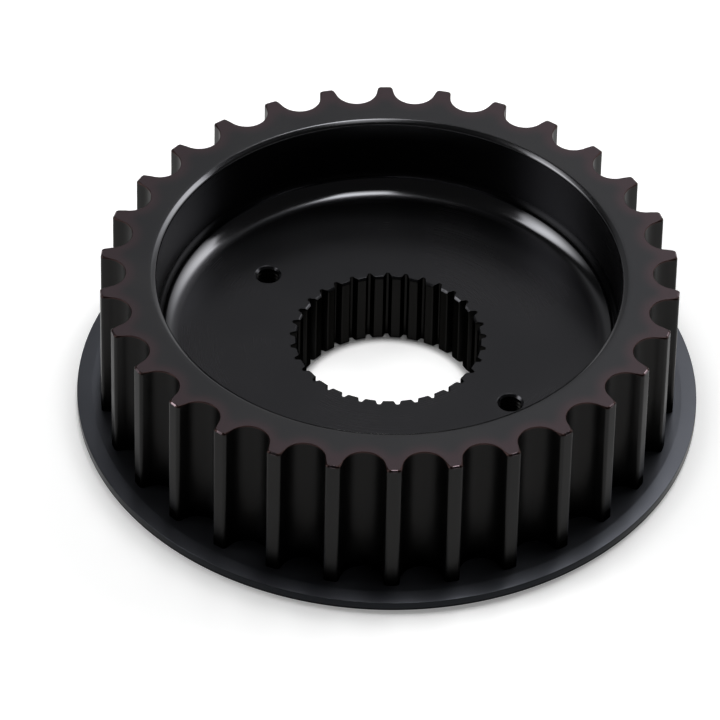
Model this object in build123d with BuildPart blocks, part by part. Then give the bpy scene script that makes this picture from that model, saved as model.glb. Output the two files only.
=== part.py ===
# Toothed belt pulley, turned and cut from one piece of steel.
# It has a flange at one end, a deep dish at the other, and a splined bore between them.
# Millimetres. Z is the pulley's axis. The hub face lies on Z = 0, and the dish faces up.
# The two tapped holes in the dish lie on the X axis.
import os
from math import cos, hypot, pi, radians, sin, tan

from build123d import *

# Belt teeth: round-bottomed grooves whose sides lean out to the tips
groove_count = 30
belt_pitch = 14.0
pitch_line_offset = 1.4
tooth_length = 34.7
groove_depth = 5.95
groove_bottom_radius = 4.85
groove_flank_angle = 14.0
tooth_corner_radius = 0.8
tooth_end_chamfer = 0.35
groove_angle = 2.45

# Flange beside the teeth: a flat ring, then a shallow bevel out to the rim
flange_thickness = 2.8
flange_overhang = 5.25
flange_flat_width = 1.85
flange_bevel_drop = 0.3
flange_edge_chamfer = 0.4

# Dish, and the web that closes it
rim_wall = 6.9
dish_edge_width = 1.1
dish_edge_depth = 0.65
dish_fillet_radius = 5.0
web_thickness = 18.8

# Splined bore
spline_count = 33
spline_major_diameter = 44.6
spline_depth = 1.6
spline_mouth_width = 1.9
spline_flank_angle = 21.0
spline_end_chamfer = 0.5
spline_angle = -3.25

# Tapped holes for a nut's lock plate, bored to the core of an M6 thread, with a tap's chamfer
hole_count = 2
hole_circle_diameter = 69.4
tap_bore_diameter = 5.0
hole_mouth_diameter = 6.0
hole_mouth_angle = 90.0

# Hub face, a ring that stands proud of the flange's back
hub_face_width = 8.6
hub_face_height = 0.9
hub_face_chamfer = 0.4

# Sizes that follow from those above
pitch_radius = groove_count * belt_pitch / (2 * pi)
tip_radius = pitch_radius - pitch_line_offset
root_radius = tip_radius - groove_depth
flange_radius = tip_radius + flange_overhang
flange_flat_radius = tip_radius + flange_flat_width
dish_radius = root_radius - rim_wall
dish_mouth_radius = dish_radius + dish_edge_width
spline_major_radius = spline_major_diameter / 2
spline_minor_radius = spline_major_radius - spline_depth
hub_face_radius = spline_major_radius + hub_face_width
flange_top = hub_face_height + flange_thickness
overall_height = flange_top + tooth_length

# How far a cutting profile runs out past the metal
overrun = 1.0
dish_edge_run = overrun * dish_edge_width / dish_edge_depth

# One belt groove, drawn along X: its bottom arc meets the two flanks without a corner
flank = radians(groove_flank_angle)
groove_centre_radius = root_radius + groove_bottom_radius
flank_start_x = groove_centre_radius - groove_bottom_radius * sin(flank)
flank_start_y = groove_bottom_radius * cos(flank)
groove_end_x = tip_radius + overrun
groove_end_y = flank_start_y + (groove_end_x - flank_start_x) * tan(flank)
with BuildSketch() as groove:
    with BuildLine():
        ThreePointArc(
            (flank_start_x, flank_start_y),
            (root_radius, 0),
            (flank_start_x, -flank_start_y),
        )
        Polyline(
            (flank_start_x, -flank_start_y),
            (groove_end_x, -groove_end_y),
            (groove_end_x, groove_end_y),
            (flank_start_x, flank_start_y),
        )
    make_face()

# One spline notch, drawn along X: wide at the bore and narrow at its root
notch_narrowing = tan(radians(spline_flank_angle))
notch_root_y = spline_mouth_width / 2 - spline_depth * notch_narrowing
notch_inner_x = spline_minor_radius - overrun
notch_inner_y = spline_mouth_width / 2 + overrun * notch_narrowing
with BuildSketch() as notch:
    with BuildLine():
        Polyline(
            (notch_inner_x, -notch_inner_y),
            (spline_major_radius, -notch_root_y),
            (spline_major_radius, notch_root_y),
            (notch_inner_x, notch_inner_y),
            close=True,
        )
    make_face()

with BuildPart() as pulley:
    # Toothed rim, standing on the flange
    with BuildSketch(Plane.XY.offset(flange_top).rotated((0, 0, groove_angle))) as teeth:
        Circle(tip_radius)
        with PolarLocations(0, groove_count):
            add(groove.sketch, mode=Mode.SUBTRACT)
        corners = teeth.vertices().filter_by(
            lambda corner: abs(hypot(corner.X, corner.Y) - tip_radius) < overrun / 100
        )
        fillet(corners, tooth_corner_radius)
    extrude(amount=tooth_length)

    # Flange and hub face
    with BuildSketch(Plane.XZ):
        with BuildLine():
            Polyline(
                (0, 0),
                (hub_face_radius - hub_face_chamfer, 0),
                (hub_face_radius, hub_face_chamfer),
                (hub_face_radius, hub_face_height),
                (flange_radius - flange_edge_chamfer, hub_face_height),
                (flange_radius, hub_face_height + flange_edge_chamfer),
                (flange_radius, flange_top - flange_bevel_drop),
                (flange_flat_radius, flange_top),
                (0, flange_top),
                close=True,
            )
        make_face()
    revolve(axis=Axis.Z)

    # Chamfer turned on the free ends of the teeth
    with BuildSketch(Plane.XZ):
        with BuildLine():
            Polyline(
                (tip_radius - tooth_end_chamfer - overrun, overall_height + overrun),
                (tip_radius + overrun, overall_height - tooth_end_chamfer - overrun),
                (tip_radius + overrun, overall_height + overrun),
                close=True,
            )
        make_face()
    revolve(axis=Axis.Z, mode=Mode.SUBTRACT)

    # Dish, with a rounded corner at its bottom and a mouth chamfered wider than deep
    with BuildSketch(Plane.XZ) as dish:
        with BuildLine():
            Polyline(
                (0, web_thickness),
                (dish_radius, web_thickness),
                (dish_radius, overall_height - dish_edge_depth),
                (dish_mouth_radius + dish_edge_run, overall_height + overrun),
                (0, overall_height + overrun),
                close=True,
            )
        make_face()
        fillet(dish.vertices().group_by(Axis.Y)[0].sort_by(Axis.X)[-1], dish_fillet_radius)
    revolve(axis=Axis.Z, mode=Mode.SUBTRACT)

    # Splined bore through the web, with a lead-in at each end
    with BuildSketch(Plane.XY.rotated((0, 0, spline_angle))):
        Circle(spline_minor_radius)
        with PolarLocations(0, spline_count):
            add(notch.sketch)
    extrude(amount=web_thickness, mode=Mode.SUBTRACT)
    with BuildSketch(Plane.XZ):
        with BuildLine():
            Polyline(
                (0, 0),
                (spline_minor_radius + spline_end_chamfer, 0),
                (spline_minor_radius, spline_end_chamfer),
                (spline_minor_radius, web_thickness - spline_end_chamfer),
                (spline_minor_radius + spline_end_chamfer, web_thickness),
                (0, web_thickness),
                close=True,
            )
        make_face()
    revolve(axis=Axis.Z, mode=Mode.SUBTRACT)

    # Tapped holes, right through the web
    with Locations(Plane.XY.offset(web_thickness)):
        with PolarLocations(hole_circle_diameter / 2, hole_count):
            CounterSinkHole(
                tap_bore_diameter / 2,
                hole_mouth_diameter / 2,
                counter_sink_angle=hole_mouth_angle,
            )

os.makedirs("parts", exist_ok=True)
pulley.part.label = "pulley"
export_step(pulley.part, "parts/pulley.step")
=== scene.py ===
from math import acos, cos, pi, radians, sin, sqrt, tan

import bpy
import numpy as np
from mathutils import Matrix, Vector
from mathutils.geometry import delaunay_2d_cdt


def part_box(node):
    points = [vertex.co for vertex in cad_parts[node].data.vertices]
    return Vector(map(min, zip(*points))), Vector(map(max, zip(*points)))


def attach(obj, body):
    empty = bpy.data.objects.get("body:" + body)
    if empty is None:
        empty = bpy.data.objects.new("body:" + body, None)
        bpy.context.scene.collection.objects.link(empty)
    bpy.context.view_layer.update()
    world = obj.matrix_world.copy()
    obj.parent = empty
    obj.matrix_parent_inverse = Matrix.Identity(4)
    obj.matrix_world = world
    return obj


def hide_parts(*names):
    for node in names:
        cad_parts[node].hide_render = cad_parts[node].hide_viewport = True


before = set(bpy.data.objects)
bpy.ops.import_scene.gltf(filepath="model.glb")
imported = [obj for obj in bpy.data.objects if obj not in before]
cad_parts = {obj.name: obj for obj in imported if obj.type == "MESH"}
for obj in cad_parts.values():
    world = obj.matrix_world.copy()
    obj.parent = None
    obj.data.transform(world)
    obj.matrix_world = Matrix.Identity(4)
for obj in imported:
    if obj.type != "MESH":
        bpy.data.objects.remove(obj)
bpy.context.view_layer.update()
MM = 0.001

# Sizes of the pulley, as in its solid
groove_count = 30
belt_pitch = 14.0
pitch_line_offset = 1.4
groove_depth = 5.95
groove_bottom_radius = 4.85
groove_flank_angle = 14.0
tooth_corner_radius = 0.8
tooth_end_chamfer = 0.35
groove_angle = 2.45
flange_thickness = 2.8
flange_overhang = 5.25
flange_flat_width = 1.85
flange_bevel_drop = 0.3
flange_edge_chamfer = 0.4
rim_wall = 6.9
dish_edge_width = 1.1
dish_edge_depth = 0.65
dish_fillet_radius = 5.0
web_thickness = 18.8
spline_count = 33
spline_major_diameter = 44.6
spline_depth = 1.6
spline_mouth_width = 1.9
spline_flank_angle = 21.0
spline_end_chamfer = 0.5
spline_angle = -3.25
hole_count = 2
hole_circle_diameter = 69.4
tap_bore_diameter = 5.0
hole_mouth_diameter = 6.0
hole_mouth_angle = 90.0
hub_face_width = 8.6
hub_face_height = 0.9
hub_face_chamfer = 0.4

# Sizes that follow from those above and from the frame
overall_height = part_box("pulley")[1].z / MM
tip_radius = groove_count * belt_pitch / (2 * pi) - pitch_line_offset
root_radius = tip_radius - groove_depth
flange_radius = tip_radius + flange_overhang
flange_flat_radius = tip_radius + flange_flat_width
flange_top = hub_face_height + flange_thickness
dish_radius = root_radius - rim_wall
dish_mouth_radius = dish_radius + dish_edge_width
spline_major_radius = spline_major_diameter / 2
spline_minor_radius = spline_major_radius - spline_depth
hub_face_radius = spline_major_radius + hub_face_width
hole_mouth_width = (hole_mouth_diameter - tap_bore_diameter) / 2
hole_mouth_depth = hole_mouth_width / tan(radians(hole_mouth_angle / 2))

# Detail that the solid leaves out: worn-in edges, spline roots and threads
groove_edge_round = 0.16
land_top_round = 0.35
land_side_round = 0.08
land_blend_start = 2.0
land_blend_run = 1.6
dish_mouth_round = 0.6
dish_wall_round = 0.8
small_edge_round = 0.12
rim_edge_round = 0.15
spline_corner_round = 0.35
spline_edge_round = 0.12
notch_end_round = 0.08
spline_root_round = 0.25
thread_pitch = 1.0
thread_depth = 0.5
thread_crest_share = 0.25
thread_root_share = 0.125

# How finely the shapes are divided. A land's points are shares of half a pitch.
small_edge_steps = 3
rim_edge_steps = 6
flange_corner_steps = 2
tooth_corner_steps = 7
groove_bottom_steps = 26
land_side_steps = 2
dish_edge_steps = 6
dish_fillet_steps = 18
spline_round_steps = 4
spline_edge_steps = 2
tooth_land_shares = (0.9, 0.95, 1.0)
spline_land_shares = (0.75, 1.0)
thread_row = 0.125
lathe_columns = 720
hole_columns = 48
smooth_angle = 35
merge_distance = 0.000001
same_radius = 0.001

# Oxide colours. A pair is the two ends of a clouded colour.
polished_oxide = ((0.086, 0.088, 0.096), (0.100, 0.099, 0.102))
dull_oxide = ((0.044, 0.045, 0.049), (0.052, 0.051, 0.055))
purplish_oxide = (0.134, 0.103, 0.113)
bluish_oxide = ((0.112, 0.118, 0.138), (0.126, 0.131, 0.148))
# Painted shade: the flange's rim wall is made near black.
rim_painted_shade = (0.012, 0.013, 0.015)
hobbed_oxide = ((0.0165, 0.016, 0.0155), (0.019, 0.019, 0.019))
# Painted shade: darker towards the groove bottoms.
groove_painted_shade = ((0.0095, 0.009, 0.0085), (0.0115, 0.0115, 0.0115))
brownish_oxide = (0.032, 0.020, 0.019)
# Painted shade at the teeth's feet and the rim's lower edge.
shaded_oxide = (0.003, 0.003, 0.003)

# Where one finish fades into the next, in millimetres past the edge that it belongs to
web_band = (0.1, 0.5)
dish_fillet_band = (-1.0, 0.6)
dish_lip_band = (-1.1, -0.7)
top_face_band = (-0.6, -0.3)
tooth_edge_band = (-0.5, -0.2)
tooth_tint_band = (-0.5, 2.5)
groove_tint_band = (0.2, 3.4)
# Below rim_band the rim is painted near black.
rim_band = (-0.04, 0.03)
# rim_foot_band and tooth_foot_band are where painted shade fades out, at the rim's lower edge and
# above the teeth's feet.
rim_foot_band = (0.3, 1.1)
tooth_foot_band = (0.0, 6.0)
# spline_band is where the bore's painted shade ends.
spline_band = (0.2, 1.0)
# flank_fade_inset sets where the grooves' painted shade fades out up the flanks.
flank_fade_inset = 0.5

# Roughness of the finishes. A pair goes with the clouding.
polished_roughness = (0.10, 0.13)
ring_roughness = 0.012
top_face_dulling = 0.06
wall_dulling = 0.18
web_polish = 0.04
flange_roughness = (0.30, 0.36)
cut_roughness = (0.34, 0.40)

# Tints of the reflections at a grazing angle
# The rim's tint dims its grazing reflection: painted shade.
rim_painted_shade_tint = (0.8, 0.8, 0.8)
hobbed_edge_tint = (0.85, 0.85, 0.85)
# Painted shade: the bore's grazing reflection is dimmed.
bore_painted_shade_tint = (0.16, 0.16, 0.14)
# Dims the grazing reflection where shade is painted at the feet.
shaded_edge_tint = (0.10, 0.10, 0.10)
full_edge_tint = (1.0, 1.0, 1.0)

# Clouding, rings and marks: how far each noise swings, how fine it is, and its relief
cloud_swing = (0.3, 0.7)
ring_swing = (0.2, 0.8)
noise_detail = 2.0
cloud_detail = 3.0
rings_per_mm = 4.0
marks_per_metre = 2600.0
mark_squeeze = 0.04
relief_depth = 0.04

# Floor: how bright it looks from the bore's middle to its edge, and around the pulley. Its glow is
# dimmed at the bore's edge and beside the rim: painted shadows.
bore_shadow_band = (-2.2, 0.3)
floor_in_bore = (0.66, 0.05)
floor_around = 0.4
rim_shadow_width = 3.0
rim_shadow_depth = 0.22
floor_half_width = 6.0
floor_colour = (0.95, 0.95, 0.95)
white = (1.0, 1.0, 1.0)

# Camera, in metres and in the photo's own axes: X to the right, Y away from the viewer
view_turn = radians(36.86)
view_elevation = radians(42.174)
view_roll = radians(1.244)
view_distance = 1.7326
view_aim = Vector((-0.00627, 0.00545, 0.00692))
view_lens = 378.95
sensor_width = 36.0

# How bright the lights are, and the dim room around them
light_level = 0.467
room_strength = 0.1


def rounded_path(corners):
    """The points of a path. A corner is (x, y), or (x, y, radius, steps) to be rounded off."""
    path = [tuple(corners[0])]
    for before, corner, after in zip(corners, corners[1:], corners[2:]):
        if len(corner) == 2:
            path.append(tuple(corner))
            continue
        x, y, radius, steps = corner
        back = Vector((before[0] - x, before[1] - y)).normalized()
        ahead = Vector((after[0] - x, after[1] - y)).normalized()
        half = acos(back.dot(ahead)) / 2
        centre = Vector((x, y)) + (back + ahead).normalized() * radius / sin(half)
        start = Vector((x, y)) + back * radius / tan(half) - centre
        end = Vector((x, y)) + ahead * radius / tan(half) - centre
        sweep = pi - 2 * half
        for step in range(steps + 1):
            share = step / steps
            spoke = (start * sin((1 - share) * sweep) + end * sin(share * sweep)) / sin(sweep)
            path.append(tuple(centre + spoke))
    path.append(tuple(corners[-1]))
    return path


def on_circle(radius, angle):
    return radius * cos(angle), radius * sin(angle)


def repeated(path, count, first_angle):
    """Copies one pitch of an outline round the axis, as one closed loop of points."""
    path = np.array(path)
    turns = radians(first_angle) + 2 * pi / count * np.arange(count)[:, None]
    x = path[:, 0] * np.cos(turns) - path[:, 1] * np.sin(turns)
    y = path[:, 0] * np.sin(turns) + path[:, 1] * np.cos(turns)
    return np.column_stack([x.ravel(), y.ravel()])


def circle(radius, columns, centre_x=0.0):
    turns = 2 * pi / columns * np.arange(columns)
    return np.column_stack([centre_x + radius * np.cos(turns), radius * np.sin(turns)])


def shifted(loop, amount):
    """A closed loop moved sideways, away from what it goes round."""
    along = np.roll(loop, -1, axis=0) - np.roll(loop, 1, axis=0)
    along /= distance_out(along)[:, None]
    return loop + np.column_stack([along[:, 1], -along[:, 0]]) * np.reshape(amount, (-1, 1))


def distance_out(loop):
    """How far each point of a loop lies from the pulley's axis."""
    return np.hypot(loop[:, 0], loop[:, 1])


def tooth_outline():
    """The toothed rim seen from above."""
    flank = radians(groove_flank_angle)
    half_pitch = pi / groove_count
    meet_x = root_radius + groove_bottom_radius - groove_bottom_radius / sin(flank)
    run = sqrt(tip_radius**2 - (meet_x * sin(flank)) ** 2) - meet_x * cos(flank)
    tip_x = meet_x + run * cos(flank)
    tip_y = run * sin(flank)
    land = [on_circle(tip_radius, half_pitch * share) for share in tooth_land_shares]
    path = rounded_path(
        [(x, -y) for x, y in reversed(land)]
        + [
            (tip_x, -tip_y, tooth_corner_radius, tooth_corner_steps),
            (meet_x, 0.0, groove_bottom_radius, groove_bottom_steps),
            (tip_x, tip_y, tooth_corner_radius, tooth_corner_steps),
        ]
        + land
    )
    return repeated(path[:-1], groove_count, groove_angle)


def spline_outline(land_radius):
    """The splined bore seen from above, with its lands at a given radius."""
    half_pitch = pi / spline_count
    lean = tan(radians(spline_flank_angle))
    flank_y = spline_mouth_width / 2 + spline_minor_radius * lean
    square = land_radius**2 * (1 + lean**2) - flank_y**2
    mouth_x = (flank_y * lean + sqrt(square)) / (1 + lean**2)
    mouth_y = flank_y - mouth_x * lean
    root_y = flank_y - spline_major_radius * lean
    land = [on_circle(land_radius, half_pitch * share) for share in spline_land_shares]
    path = rounded_path(
        [(x, -y) for x, y in reversed(land)]
        + [
            (mouth_x, -mouth_y, spline_corner_round, spline_round_steps),
            (spline_major_radius, -root_y, spline_root_round, spline_round_steps),
            (spline_major_radius, root_y, spline_root_round, spline_round_steps),
            (mouth_x, mouth_y, spline_corner_round, spline_round_steps),
        ]
        + land
    )
    return repeated(path[:-1], spline_count, spline_angle)


def inside(spots, loop):
    """Says of each spot whether a closed loop goes round it."""
    x, y = spots[:, :1], spots[:, 1:]
    ax, ay = loop[:, 0], loop[:, 1]
    bx, by = np.roll(ax, -1), np.roll(ay, -1)
    rise = np.where(by == ay, 1.0, by - ay)
    crossed = ((ay > y) != (by > y)) & (x < ax + (y - ay) * (bx - ax) / rise)
    return crossed.sum(axis=1) % 2 == 1


class Skin:
    """The points and faces of one mesh, gathered ring by ring."""

    def __init__(self):
        self.points = []
        self.faces = []
        self.finishes = []
        self.facings = []

    def add_face(self, corners, finish, facing):
        """Adds one face. facing is 1 for a level face that looks up, -1 for down, 0 otherwise."""
        self.faces.append(corners)
        self.finishes.append(finish)
        self.facings.append(facing)

    def ring(self, loop, height):
        """Adds a closed ring of points and gives their numbers."""
        first = len(self.points)
        heights = np.broadcast_to(height, len(loop))
        self.points.extend(np.column_stack([loop, heights]).tolist())
        return list(range(first, len(self.points)))

    def wall(self, rings, finish):
        """Joins each ring to the next one. finish is one number, or one for each column."""
        finishes = np.broadcast_to(finish, len(rings[0])).tolist()
        for near, far in zip(rings, rings[1:]):
            for there, column in enumerate(finishes):
                here = there - 1
                self.add_face((near[here], near[there], far[there], far[here]), column, 0.0)

    def flat(self, edge, holes, finish, facing_up=True):
        """Fills the level area between one ring and the rings of its holes."""
        loops = [edge, *holes]
        numbers = [number for loop in loops for number in loop]
        spots = np.array([self.points[number][:2] for number in numbers])
        edges = []
        for loop in loops:
            first = len(edges)
            edges += [(first + i, first + (i + 1) % len(loop)) for i in range(len(loop))]
        corners = [Vector(spot) for spot in spots]
        made = delaunay_2d_cdt(corners, edges, [], 0, merge_distance)
        faces, sources = made[2], made[3]
        triangles = np.array([[sources[corner][0] for corner in face] for face in faces])
        middles = spots[triangles].mean(axis=1)
        kept = inside(middles, spots[: len(edge)])
        first = len(edge)
        for hole in holes:
            kept &= ~inside(middles, spots[first : first + len(hole)])
            first += len(hole)
        for triangle in triangles[kept]:
            a, b, c = spots[triangle]
            turns_left = (b[0] - a[0]) * (c[1] - a[1]) > (b[1] - a[1]) * (c[0] - a[0])
            if turns_left != facing_up:
                triangle = triangle[::-1]
            face = tuple(numbers[corner] for corner in triangle)
            self.add_face(face, finish, 1.0 if facing_up else -1.0)

    def lathe(self, profile, finish):
        """Turns a profile of (radius, height) points round the axis, and gives its end rings."""
        rings = [self.ring(circle(radius, lathe_columns), height) for radius, height in profile]
        self.wall(rings, finish)
        return rings[0], rings[-1]

    def mesh(self, name, materials):
        made = bpy.data.meshes.new(name)
        made.from_pydata((np.array(self.points) * MM).tolist(), [], self.faces)
        for material in materials:
            made.materials.append(material)
        made.polygons.foreach_set("material_index", self.finishes)
        made.shade_smooth()
        made.set_sharp_from_angle(angle=radians(smooth_angle))
        made.update()
        self.level_normals(made)
        return made

    def level_normals(self, made):
        """Points the normals straight up or down on level faces and where a rounding meets them."""
        sizes = [len(face) for face in self.faces]
        corner_face = np.repeat(np.arange(len(self.faces)), sizes)
        corner_point = np.concatenate(self.faces)
        facing = np.array(self.facings)[corner_face]
        upright = np.zeros(len(self.points))
        upright[corner_point[facing != 0]] = facing[facing != 0]
        slopes = np.array([face.normal.z for face in made.polygons])[corner_face]
        wanted = upright[corner_point]
        level = (wanted != 0) & (slopes * wanted > cos(radians(smooth_angle)))
        normals = np.zeros((len(corner_point), 3))
        normals[level, 2] = wanted[level]
        made.normals_split_custom_set(normals.tolist())


# The finishes' places in the pulley's list of materials
TURNED, FLANGE, CUT = 0, 1, 2


def finish_by_column(on_land):
    """TURNED for the columns of a wall that lie on a land, and CUT for the others."""
    return np.where(on_land & np.roll(on_land, 1), TURNED, CUT)


def add_hub_face(skin, bore_end):
    profile = rounded_path(
        [
            (hub_face_radius - 2 * hub_face_chamfer, 0.0),
            (hub_face_radius - hub_face_chamfer, 0.0, small_edge_round, small_edge_steps),
            (hub_face_radius, hub_face_chamfer, small_edge_round, small_edge_steps),
            (hub_face_radius, hub_face_height, small_edge_round, small_edge_steps),
            (hub_face_radius + hub_face_chamfer, hub_face_height),
        ]
    )
    first, last = skin.lathe(profile, TURNED)
    skin.flat(first, [bore_end], TURNED, facing_up=False)
    return last


def add_flange(skin, hub_edge, hole_ends, tooth_foot):
    chamfer_inner = flange_radius - flange_edge_chamfer
    chamfer_top = hub_face_height + flange_edge_chamfer
    bevel_foot = flange_top - flange_bevel_drop
    profile = rounded_path(
        [
            (flange_radius - 2 * flange_edge_chamfer, hub_face_height),
            (chamfer_inner, hub_face_height, small_edge_round, small_edge_steps),
            (flange_radius, chamfer_top, small_edge_round, small_edge_steps),
            (flange_radius, bevel_foot, rim_edge_round, rim_edge_steps),
            (flange_flat_radius, flange_top, rim_edge_round, flange_corner_steps),
            (flange_flat_radius - rim_edge_round, flange_top),
        ]
    )
    first, last = skin.lathe(profile, FLANGE)
    skin.flat(first, [hub_edge, *hole_ends], TURNED, facing_up=False)
    skin.flat(last, [tooth_foot], FLANGE)


def add_teeth(skin):
    """The tooth walls. At their free ends the lands are chamfered and the grooves rounded over."""
    outline = tooth_outline()
    out = distance_out(outline)
    share = np.clip((out - (tip_radius - land_blend_start)) / land_blend_run, 0.0, 1.0)
    share = share * share * (3 - 2 * share)
    on_land = rounded_path(
        [
            (0.0, 2 * tooth_end_chamfer),
            (0.0, tooth_end_chamfer, land_side_round, land_side_steps),
            (tooth_end_chamfer, 0.0, land_top_round, small_edge_steps),
            (2 * tooth_end_chamfer, 0.0),
        ]
    )
    # The groove's rounding has as many points as the land's chamfer, to blend one into the other
    groove_steps = len(on_land) - 3
    in_groove = rounded_path(
        [(0.0, 1.0), (0.0, 0.0, groove_edge_round, groove_steps), (1.0, 0.0)]
    )
    rings = [skin.ring(outline, flange_top)]
    for land, groove in list(zip(on_land, in_groove))[1:-1]:
        inset = land[0] * share + groove[0] * (1 - share)
        drop = land[1] * share + groove[1] * (1 - share)
        rings.append(skin.ring(shifted(outline, -inset), overall_height - drop))
    skin.wall(rings[:2], CUT)
    skin.wall(rings[1:], finish_by_column(out > tip_radius - same_radius))
    return rings[0], rings[-1]


def add_dish(skin, tooth_top):
    chamfer_foot = overall_height - dish_edge_depth
    profile = rounded_path(
        [
            (dish_mouth_radius + dish_edge_width, overall_height),
            (dish_mouth_radius, overall_height, dish_mouth_round, dish_edge_steps),
            (dish_radius, chamfer_foot, dish_wall_round, dish_edge_steps),
            (dish_radius, web_thickness, dish_fillet_radius, dish_fillet_steps),
            (dish_radius - dish_fillet_radius - small_edge_round, web_thickness),
        ]
    )
    first, last = skin.lathe(profile, TURNED)
    skin.flat(tooth_top, [first], TURNED)
    return last


def add_bore(skin):
    """The splined bore, from its upper lead-in down to its lower one."""
    mouth = spline_minor_radius + spline_end_chamfer
    chamfer_foot = web_thickness - spline_end_chamfer
    upper = rounded_path(
        [
            (mouth + spline_edge_round, web_thickness),
            (mouth, web_thickness, spline_edge_round, spline_edge_steps),
            (spline_minor_radius, chamfer_foot, spline_edge_round, spline_edge_steps),
            (spline_minor_radius, web_thickness - 2 * spline_end_chamfer),
        ]
    )[1:]
    lower = [(radius, web_thickness - height) for radius, height in reversed(upper)]
    rings = []
    for radius, height in upper + lower:
        depth = min(web_thickness - height, height)
        ease = max(0.0, notch_end_round - depth)
        rings.append(skin.ring(shifted(spline_outline(radius - ease), ease), height))
    out = distance_out(spline_outline(spline_minor_radius))
    lead_in_finish = finish_by_column(out < spline_minor_radius + same_radius)
    lead_in_rings = spline_edge_steps + 2
    skin.wall(rings[:lead_in_rings], lead_in_finish)
    skin.wall(rings[lead_in_rings - 1 : 1 - lead_in_rings], CUT)
    skin.wall(rings[-lead_in_rings:], lead_in_finish)
    return rings[0], rings[-1]


def thread_cut(height, turns):
    """How far the thread cuts in at a height, from 0 on its crest to 1 at its root."""
    swing = np.abs(2 * ((height / thread_pitch - turns) % 1.0) - 1)
    flank_share = 1.0 - thread_crest_share - thread_root_share
    return np.clip((swing - thread_crest_share) / flank_share, 0.0, 1.0)


def add_tapped_hole(skin, centre_x):
    """One threaded hole, from its mouth down to the flange's back."""
    core = tap_bore_diameter / 2
    rim = hole_mouth_diameter / 2
    top = web_thickness - hole_mouth_depth
    rows = int((top - hub_face_height) / thread_row)
    turns = np.arange(hole_columns) / hole_columns
    mouth = rounded_path(
        [
            (rim + small_edge_round, web_thickness),
            (rim, web_thickness, small_edge_round, small_edge_steps),
            (core, top),
        ]
    )
    mouth_rings = [skin.ring(circle(radius, hole_columns, centre_x), z) for radius, z in mouth]
    rings = [mouth_rings[-1]]
    for height in np.linspace(top, hub_face_height, rows + 1)[1:]:
        from_end = min(top - height, height - hub_face_height)
        run_in = min(1.0, from_end / thread_pitch)
        radii = core + thread_depth * thread_cut(height, turns) * run_in
        loop = circle(1.0, hole_columns) * radii[:, None] + np.array([centre_x, 0.0])
        rings.append(skin.ring(loop, height))
    skin.wall(mouth_rings, TURNED)
    skin.wall(rings, CUT)
    return mouth_rings[0], rings[-1]


def add_web(skin, dish_foot, bore_mouth, hole_mouths):
    skin.flat(dish_foot, [bore_mouth, *hole_mouths], TURNED)


def build_pulley(materials):
    skin = Skin()
    bore_mouth, bore_end = add_bore(skin)
    turns = [2 * pi * number / hole_count for number in range(hole_count)]
    holes = [add_tapped_hole(skin, hole_circle_diameter / 2 * cos(turn)) for turn in turns]
    hub_edge = add_hub_face(skin, bore_end)
    tooth_foot, tooth_top = add_teeth(skin)
    add_flange(skin, hub_edge, [end for _, end in holes], tooth_foot)
    dish_foot = add_dish(skin, tooth_top)
    add_web(skin, dish_foot, bore_mouth, [mouth for mouth, _ in holes])
    piece = bpy.data.objects.new("pulley_body", skin.mesh("pulley_body", materials))
    bpy.context.scene.collection.objects.link(piece)
    return piece


def add_node(tree, kind, inputs=None, **settings):
    """Adds one shader node. An input takes a value, or a socket to be linked."""
    made = tree.nodes.new(kind)
    for name, value in settings.items():
        setattr(made, name, value)
    for key, value in (inputs or {}).items():
        if isinstance(value, bpy.types.NodeSocket):
            tree.links.new(value, made.inputs[key])
        else:
            made.inputs[key].default_value = value
    return made


def calc(tree, operation, *values):
    made = add_node(tree, "ShaderNodeMath", dict(enumerate(values)), operation=operation)
    return made.outputs[0]


def chained(tree, operation, first, *others):
    """Joins any number of values by one operation, from left to right."""
    result = first
    for value in others:
        result = calc(tree, operation, result, value)
    return result


def product(tree, *values):
    return chained(tree, "MULTIPLY", *values)


def total(tree, *values):
    return chained(tree, "ADD", *values)


def length_of(tree, x, y):
    return calc(tree, "SQRT", total(tree, product(tree, x, x), product(tree, y, y)))


def bell(tree, value, centre, width):
    """1 at centre, falling off evenly on both sides."""
    off = calc(tree, "DIVIDE", calc(tree, "SUBTRACT", value, centre), width)
    return calc(tree, "EXPONENT", product(tree, off, off, -0.5))


def ramp(tree, value, low, high, to_low=0.0, to_high=1.0):
    """A smooth step of value, from to_low at low to to_high at high."""
    inputs = {"Value": value, 1: low, 2: high, 3: to_low, 4: to_high}
    made = add_node(tree, "ShaderNodeMapRange", inputs, interpolation_type="SMOOTHSTEP")
    return made.outputs[0]


def falling(tree, value, low, high):
    """A smooth step down, from 1 at low to 0 at high."""
    return ramp(tree, value, low, high, 1.0, 0.0)


def fade(tree, value, edge, band, before=0.0, after=1.0):
    """A smooth step across a band beside an edge. Edge and band are in millimetres."""
    start, end = band
    return ramp(tree, value, (edge + start) * MM, (edge + end) * MM, before, after)


def opaque(colour):
    """A colour as an input takes it: a socket as it is, or red, green and blue made opaque."""
    return colour if isinstance(colour, bpy.types.NodeSocket) else (*colour, 1.0)


def mixed(tree, factor, first, second):
    """Goes from the first colour to the second one as factor goes from 0 to 1."""
    inputs = {0: factor, 6: opaque(first), 7: opaque(second)}
    made = add_node(tree, "ShaderNodeMix", inputs, data_type="RGBA")
    return made.outputs[2]


def new_material(name):
    material = bpy.data.materials.new(name)
    material.use_nodes = True
    material.node_tree.nodes.clear()
    return material, material.node_tree


def object_place(tree):
    """The spot on the object, in metres."""
    return add_node(tree, "ShaderNodeTexCoord").outputs["Object"]


def axes_of(tree, vector):
    """The X, Y and Z of a place or a direction."""
    return tuple(add_node(tree, "ShaderNodeSeparateXYZ", {0: vector}).outputs)


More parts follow.
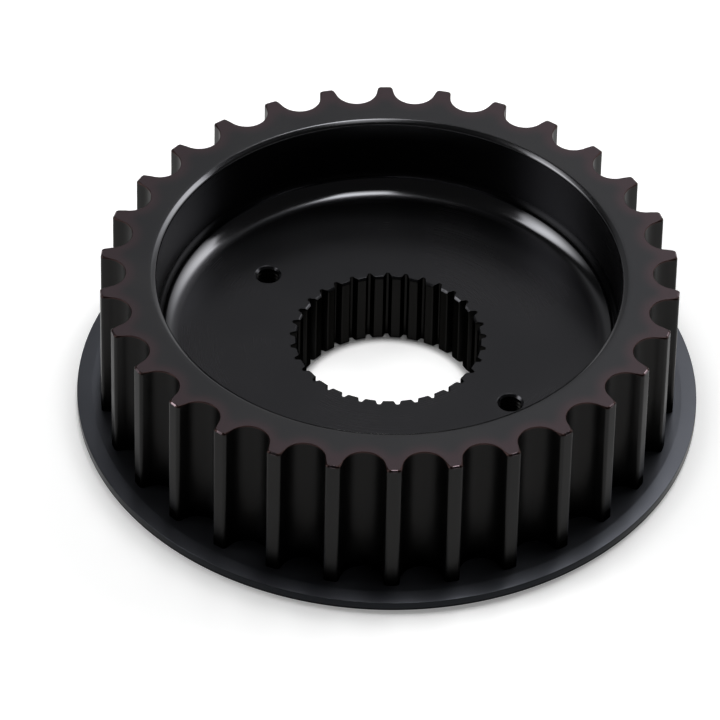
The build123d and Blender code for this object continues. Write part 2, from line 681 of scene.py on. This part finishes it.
def groove_distance(tree, x, y, out):
    """How far a spot lies from the nearest belt groove, in millimetres."""
    pitch = 2 * pi / groove_count
    from_groove = calc(tree, "SUBTRACT", calc(tree, "ARCTAN2", y, x), radians(groove_angle))
    folded = calc(tree, "WRAP", from_groove, pitch / 2, -pitch / 2)
    side = product(tree, out, calc(tree, "SINE", folded))
    centre = (root_radius + groove_bottom_radius) * MM
    along = calc(tree, "SUBTRACT", product(tree, out, calc(tree, "COSINE", folded)), centre)
    from_edge = calc(tree, "SUBTRACT", length_of(tree, side, along), groove_bottom_radius * MM)
    return calc(tree, "DIVIDE", from_edge, MM)


def clouding(tree, place, scale):
    """Soft patches, as an oxide bath leaves them."""
    inputs = {"Vector": place, "Scale": scale, "Detail": cloud_detail}
    return add_node(tree, "ShaderNodeTexNoise", inputs).outputs[0]


def clouded_roughness(tree, cloud, pair):
    return ramp(tree, cloud, *cloud_swing, *pair)


def turning_rings(tree, out, height):
    """Fine rings round the axis, as a lathe tool leaves them."""
    along = product(tree, calc(tree, "ADD", out, height), 1.0 / MM)
    inputs = {"W": along, "Scale": rings_per_mm, "Detail": noise_detail}
    return add_node(tree, "ShaderNodeTexNoise", inputs, noise_dimensions="1D").outputs[0]


def upright_marks(tree, place):
    """Fine marks along the axis, as a hob leaves them."""
    inputs = {"Vector": place, "Scale": (1.0, 1.0, mark_squeeze)}
    squeezed = add_node(tree, "ShaderNodeMapping", inputs).outputs[0]
    inputs = {"Vector": squeezed, "Scale": marks_per_metre, "Detail": noise_detail}
    return add_node(tree, "ShaderNodeTexNoise", inputs).outputs[0]


def metal_surface(tree, colour, roughness, edge_tint, relief, relief_strength):
    """Ends a material: bare oxide on steel, with a fine relief."""
    inputs = {"Strength": relief_strength, "Distance": relief_depth * MM, "Height": relief}
    bump = add_node(tree, "ShaderNodeBump", inputs)
    inputs = {
        "Base Color": colour,
        "Metallic": 1.0,
        "Roughness": roughness,
        "Specular Tint": opaque(edge_tint),
        "Normal": bump.outputs[0],
    }
    surface = add_node(tree, "ShaderNodeBsdfPrincipled", inputs)
    add_node(tree, "ShaderNodeOutputMaterial", {"Surface": surface.outputs[0]})


def turned_oxide():
    """Black oxide on turned faces: finest in the dish's corner, and purplish on the teeth."""
    material, tree = new_material("turned_black_oxide")
    place = object_place(tree)
    x, y, z = axes_of(tree, place)
    out = length_of(tree, x, y)
    cloud = clouding(tree, place, scale=45.0)
    on_web = fade(tree, z, web_thickness, web_band, 1.0, 0.0)
    above_fillet = fade(tree, z, web_thickness + dish_fillet_radius, dish_fillet_band)
    below_lip = fade(tree, z, overall_height, dish_lip_band, 1.0, 0.0)
    duller = total(tree, on_web, product(tree, above_fillet, below_lip))
    on_top = fade(tree, z, overall_height, top_face_band)
    beside_groove = falling(tree, groove_distance(tree, x, y, out), *groove_tint_band)
    on_teeth = fade(tree, out, root_radius, tooth_tint_band)
    purplish = product(tree, calc(tree, "MAXIMUM", beside_groove, on_teeth), on_top)
    polished = mixed(tree, cloud, *polished_oxide)
    dull = mixed(tree, cloud, *dull_oxide)
    colour = mixed(tree, purplish, mixed(tree, duller, polished, dull), purplish_oxide)
    rings = turning_rings(tree, out, z)
    roughness = total(
        tree,
        clouded_roughness(tree, cloud, polished_roughness),
        ramp(tree, rings, *ring_swing, -ring_roughness, ring_roughness),
        product(tree, on_top, top_face_dulling),
        product(tree, duller, wall_dulling),
        product(tree, on_web, -web_polish),
    )
    metal_surface(tree, colour, roughness, full_edge_tint, rings, relief_strength=0.05)
    return material


def flange_oxide():
    """Black oxide on the flange: bluer and duller, with painted shade, dark on its rim and darkest
    at its foot.
    """
    material, tree = new_material("flange_black_oxide")
    place = object_place(tree)
    x, y, z = axes_of(tree, place)
    cloud = clouding(tree, place, scale=60.0)
    # Below the bevel the rim is painted near black and its grazing reflection dimmed: painted
    # shade.
    above_rim = fade(tree, z, flange_top - flange_bevel_drop, rim_band)
    # Painted shade at the rim's lower edge.
    painted_foot_shade = fade(tree, z, hub_face_height, rim_foot_band, 1.0, 0.0)
    colour = mixed(tree, above_rim, rim_painted_shade, mixed(tree, cloud, *bluish_oxide))
    colour = mixed(tree, painted_foot_shade, colour, shaded_oxide)
    edge_tint = mixed(tree, above_rim, rim_painted_shade_tint, full_edge_tint)
    edge_tint = mixed(tree, painted_foot_shade, edge_tint, shaded_edge_tint)
    rings = turning_rings(tree, length_of(tree, x, y), z)
    roughness = clouded_roughness(tree, cloud, flange_roughness)
    metal_surface(tree, colour, roughness, edge_tint, rings, relief_strength=0.08)
    return material


def cut_oxide():
    """Black oxide on the hobbed teeth, the splines and the threads: dull, with upright marks.
    Painted shade darkens the teeth's feet and the grooves' bottoms, and dims the bore's
    reflections.
    """
    material, tree = new_material("cut_black_oxide")
    place = object_place(tree)
    x, y, z = axes_of(tree, place)
    out = length_of(tree, x, y)
    cloud = clouding(tree, place, scale=120.0)
    # Painted shade: the colour darkens from the flanks down to the groove bottoms.
    flank_start = (root_radius - flank_fade_inset) * MM
    flank_end = (tip_radius - flank_fade_inset) * MM
    up_flank = ramp(tree, out, flank_start, flank_end)
    at_edge = fade(tree, z, overall_height, tooth_edge_band)
    # Painted shade at the teeth's feet, fading out upwards, on the teeth only and not in the dish.
    painted_foot_shade = fade(tree, z, flange_top, tooth_foot_band, 1.0, 0.0)
    painted_foot_shade = product(tree, painted_foot_shade, ramp(tree, out, dish_radius * MM, root_radius * MM))
    # The bore's grazing reflection is dimmed: painted shade.
    in_bore = fade(tree, out, spline_major_radius, spline_band, 1.0, 0.0)
    in_groove = mixed(tree, cloud, *groove_painted_shade)
    colour = mixed(tree, up_flank, in_groove, mixed(tree, cloud, *hobbed_oxide))
    colour = mixed(tree, at_edge, colour, brownish_oxide)
    colour = mixed(tree, painted_foot_shade, colour, shaded_oxide)
    edge_tint = mixed(tree, in_bore, hobbed_edge_tint, bore_painted_shade_tint)
    edge_tint = mixed(tree, painted_foot_shade, edge_tint, shaded_edge_tint)
    roughness = clouded_roughness(tree, cloud, cut_roughness)
    marks = upright_marks(tree, place)
    metal_surface(tree, colour, roughness, edge_tint, marks, relief_strength=0.10)
    return material


def floor_glow(tree):
    """How white the floor looks, to the camera and in reflections alone.
    Its glow is dimmed into painted shadows at the bore's edge, and beside the rim for the camera
    alone.
    """
    rays = add_node(tree, "ShaderNodeLightPath").outputs
    to_camera = rays["Is Camera Ray"]
    x, y, _ = axes_of(tree, object_place(tree))
    out = length_of(tree, x, y)
    # Painted shadow: the glow fades at the bore's edge.
    in_bore = fade(tree, out, spline_minor_radius, bore_shadow_band, *floor_in_bore)
    under_rim = (flange_radius - rim_shadow_width) * MM
    around = ramp(tree, out, hub_face_radius * MM, under_rim, 0.0, floor_around)
    # Painted shadow in a ring beside the rim, for camera rays alone.
    beside_rim = bell(tree, out, flange_radius * MM, rim_shadow_width * MM)
    shadow = product(tree, beside_rim, to_camera)
    brightness = total(tree, in_bore, around)
    brightness = calc(tree, "MULTIPLY_ADD", shadow, -rim_shadow_depth, brightness)
    seen = chained(tree, "MAXIMUM", to_camera, rays["Is Glossy Ray"], rays["Is Transmission Ray"])
    return product(tree, seen, brightness)


def pale_floor():
    """Takes the object's shadow, glows for those who look at it, and is clear from below."""
    material, tree = new_material("studio_floor")
    lit = add_node(tree, "ShaderNodeBsdfDiffuse", {"Color": opaque(floor_colour)})
    inputs = {"Color": opaque(white), "Strength": floor_glow(tree)}
    glow = add_node(tree, "ShaderNodeEmission", inputs)
    both = add_node(tree, "ShaderNodeAddShader", {0: lit.outputs[0], 1: glow.outputs[0]})
    clear = add_node(tree, "ShaderNodeBsdfTransparent")
    below = add_node(tree, "ShaderNodeNewGeometry").outputs["Backfacing"]
    inputs = {0: below, 1: both.outputs[0], 2: clear.outputs[0]}
    surface = add_node(tree, "ShaderNodeMixShader", inputs)
    add_node(tree, "ShaderNodeOutputMaterial", {"Surface": surface.outputs[0]})
    return material


def add_floor():
    half = floor_half_width
    mesh = bpy.data.meshes.new("studio_floor")
    corners = [(-half, -half, 0.0), (half, -half, 0.0), (half, half, 0.0), (-half, half, 0.0)]
    mesh.from_pydata(corners, [], [(0, 1, 2, 3)])
    mesh.materials.append(pale_floor())
    floor = bpy.data.objects.new("studio_floor", mesh)
    bpy.context.scene.collection.objects.link(floor)


def add_camera():
    """Stands the camera where the photo was taken from. The photo's axes turn into the part's."""
    right = Vector((1.0, 0.0, 0.0))
    ahead = Vector((0.0, cos(view_elevation), -sin(view_elevation)))
    upward = right.cross(ahead)
    across = right * cos(view_roll) + upward * sin(view_roll)
    top = upward * cos(view_roll) - right * sin(view_roll)
    turn = Matrix.Rotation(view_turn, 3, "Z")
    data = bpy.data.cameras.new("camera")
    data.lens = view_lens
    data.sensor_width = sensor_width
    camera = bpy.data.objects.new("camera", data)
    rotation = turn @ Matrix((across, top, -ahead)).transposed()
    place = turn @ (view_aim - ahead * view_distance)
    camera.matrix_world = Matrix.LocRotScale(place, rotation, None)
    bpy.context.scene.collection.objects.link(camera)
    bpy.context.scene.camera = camera


def bent_edge(tree, height, azimuth, straight_until, bend):
    """The azimuth of a soft box's near edge, which bends away above a given height."""
    above = calc(tree, "MAXIMUM", calc(tree, "SUBTRACT", height, straight_until), 0.0)
    return total(tree, product(tree, above, above, bend), azimuth)


def softbox(tree, around, height, edges, azimuth, lean, width, brightest_at, spread, top, strength):
    """A soft box, in degrees. Its middle leans aside as it rises, and its edges cut it off."""
    middle = calc(tree, "MULTIPLY_ADD", height, lean, azimuth)
    across = bell(tree, around, middle, width)
    upward = bell(tree, height, brightest_at, spread)
    return product(tree, across, upward, *edges, falling(tree, height, *top), strength)


def right_softbox(tree, around, height):
    """A large soft box on the right, brightest at its top, with a clean near and top edge."""
    near = bent_edge(tree, height, azimuth=1.0, straight_until=27.0, bend=0.05)
    near_edge = ramp(tree, calc(tree, "SUBTRACT", around, near), 0.0, 4.0)
    return softbox(
        tree, around, height, [near_edge], azimuth=8.3, lean=0.45, width=19.0,
        brightest_at=46.0, spread=17.0, top=(50.0, 54.0), strength=14.5,
    )


def left_softbox(tree, around, height):
    """Its partner on the left, a little lower and narrower."""
    turned = calc(tree, "WRAP", around, 360.0, 0.0)
    near = bent_edge(tree, height, azimuth=208.0, straight_until=22.0, bend=-0.019)
    near_edge = falling(tree, calc(tree, "SUBTRACT", turned, near), -4.0, 0.0)
    far_edge = ramp(tree, turned, 158.0, 168.0)
    return softbox(
        tree, turned, height, [far_edge, near_edge], azimuth=196.7, lean=-0.35, width=13.0,
        brightest_at=42.0, spread=16.0, top=(56.0, 61.0), strength=15.3,
    )


def strip_above(tree, x, y, z):
    """A long narrow light overhead, which runs away from the viewer and ends on a slant."""
    lowest = 0.01
    slant = 0.8
    strength = 18.5
    rise = calc(tree, "MAXIMUM", z, lowest)
    across = calc(tree, "DIVIDE", x, rise)
    along = calc(tree, "DIVIDE", y, rise)
    left_edge = ramp(tree, across, -0.01, 0.01)
    right_edge = falling(tree, across, 0.19, 0.25)
    near_edge = ramp(tree, along, -0.3, 0.05)
    far_edge = falling(tree, calc(tree, "MULTIPLY_ADD", across, slant, along), 0.68, 0.76)
    return product(tree, left_edge, right_edge, near_edge, far_edge, strength)


def back_glow(tree, around, height):
    """The faint glow of the room behind the pulley, stronger to the right."""
    strength = 1.45
    wide_strength = 0.6
    strong = product(tree, bell(tree, around, 78.0, 11.0), strength)
    right_edge = ramp(tree, around, 86.0, 96.0)
    left_edge = ramp(tree, around, 135.0, 150.0, wide_strength, 0.0)
    glow = calc(tree, "MAXIMUM", strong, product(tree, right_edge, left_edge))
    return product(tree, glow, falling(tree, height, 46.0, 54.0))


def horizon(tree, x, y, height):
    """A pale backdrop as bright as the floor. It reaches higher at the back on the right."""
    full_until = 2.0
    low_top = 10.0
    extra = 26.0
    on_right = ramp(tree, x, 0.25, 0.5, 0.0, extra)
    at_back = ramp(tree, y, 0.1, 0.6)
    top = calc(tree, "MULTIPLY_ADD", on_right, at_back, low_top)
    return falling(tree, height, full_until, top)


def light_studio():
    """Lights as bright places of the world, in the photo's directions, over a pale horizon."""
    world = bpy.data.worlds.new("studio")
    world.use_nodes = True
    world.node_tree.nodes.clear()
    tree = world.node_tree
    place = add_node(tree, "ShaderNodeTexCoord").outputs["Generated"]
    inputs = {"Vector": place, "Angle": -view_turn}
    seen = add_node(tree, "ShaderNodeVectorRotate", inputs, rotation_type="Z_AXIS")
    x, y, z = axes_of(tree, seen.outputs[0])
    around = calc(tree, "DEGREES", calc(tree, "ARCTAN2", y, x))
    height = calc(tree, "DEGREES", calc(tree, "ARCSINE", z))
    lights = total(
        tree,
        right_softbox(tree, around, height),
        left_softbox(tree, around, height),
        strip_above(tree, x, y, z),
        back_glow(tree, around, height),
        room_strength,
    )
    level = calc(tree, "MAXIMUM", product(tree, lights, light_level), horizon(tree, x, y, height))
    to_camera = add_node(tree, "ShaderNodeLightPath").outputs["Is Camera Ray"]
    hidden = product(tree, level, calc(tree, "SUBTRACT", 1.0, to_camera))
    white_to_camera = total(tree, hidden, to_camera)
    glow = add_node(tree, "ShaderNodeBackground", {"Strength": white_to_camera})
    add_node(tree, "ShaderNodeOutputWorld", {"Surface": glow.outputs[0]})
    bpy.context.scene.world = world


pulley = build_pulley([turned_oxide(), flange_oxide(), cut_oxide()])
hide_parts("pulley")
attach(pulley, "root")
add_floor()
add_camera()
light_studio()
bpy.context.scene.view_settings.view_transform = "Standard"
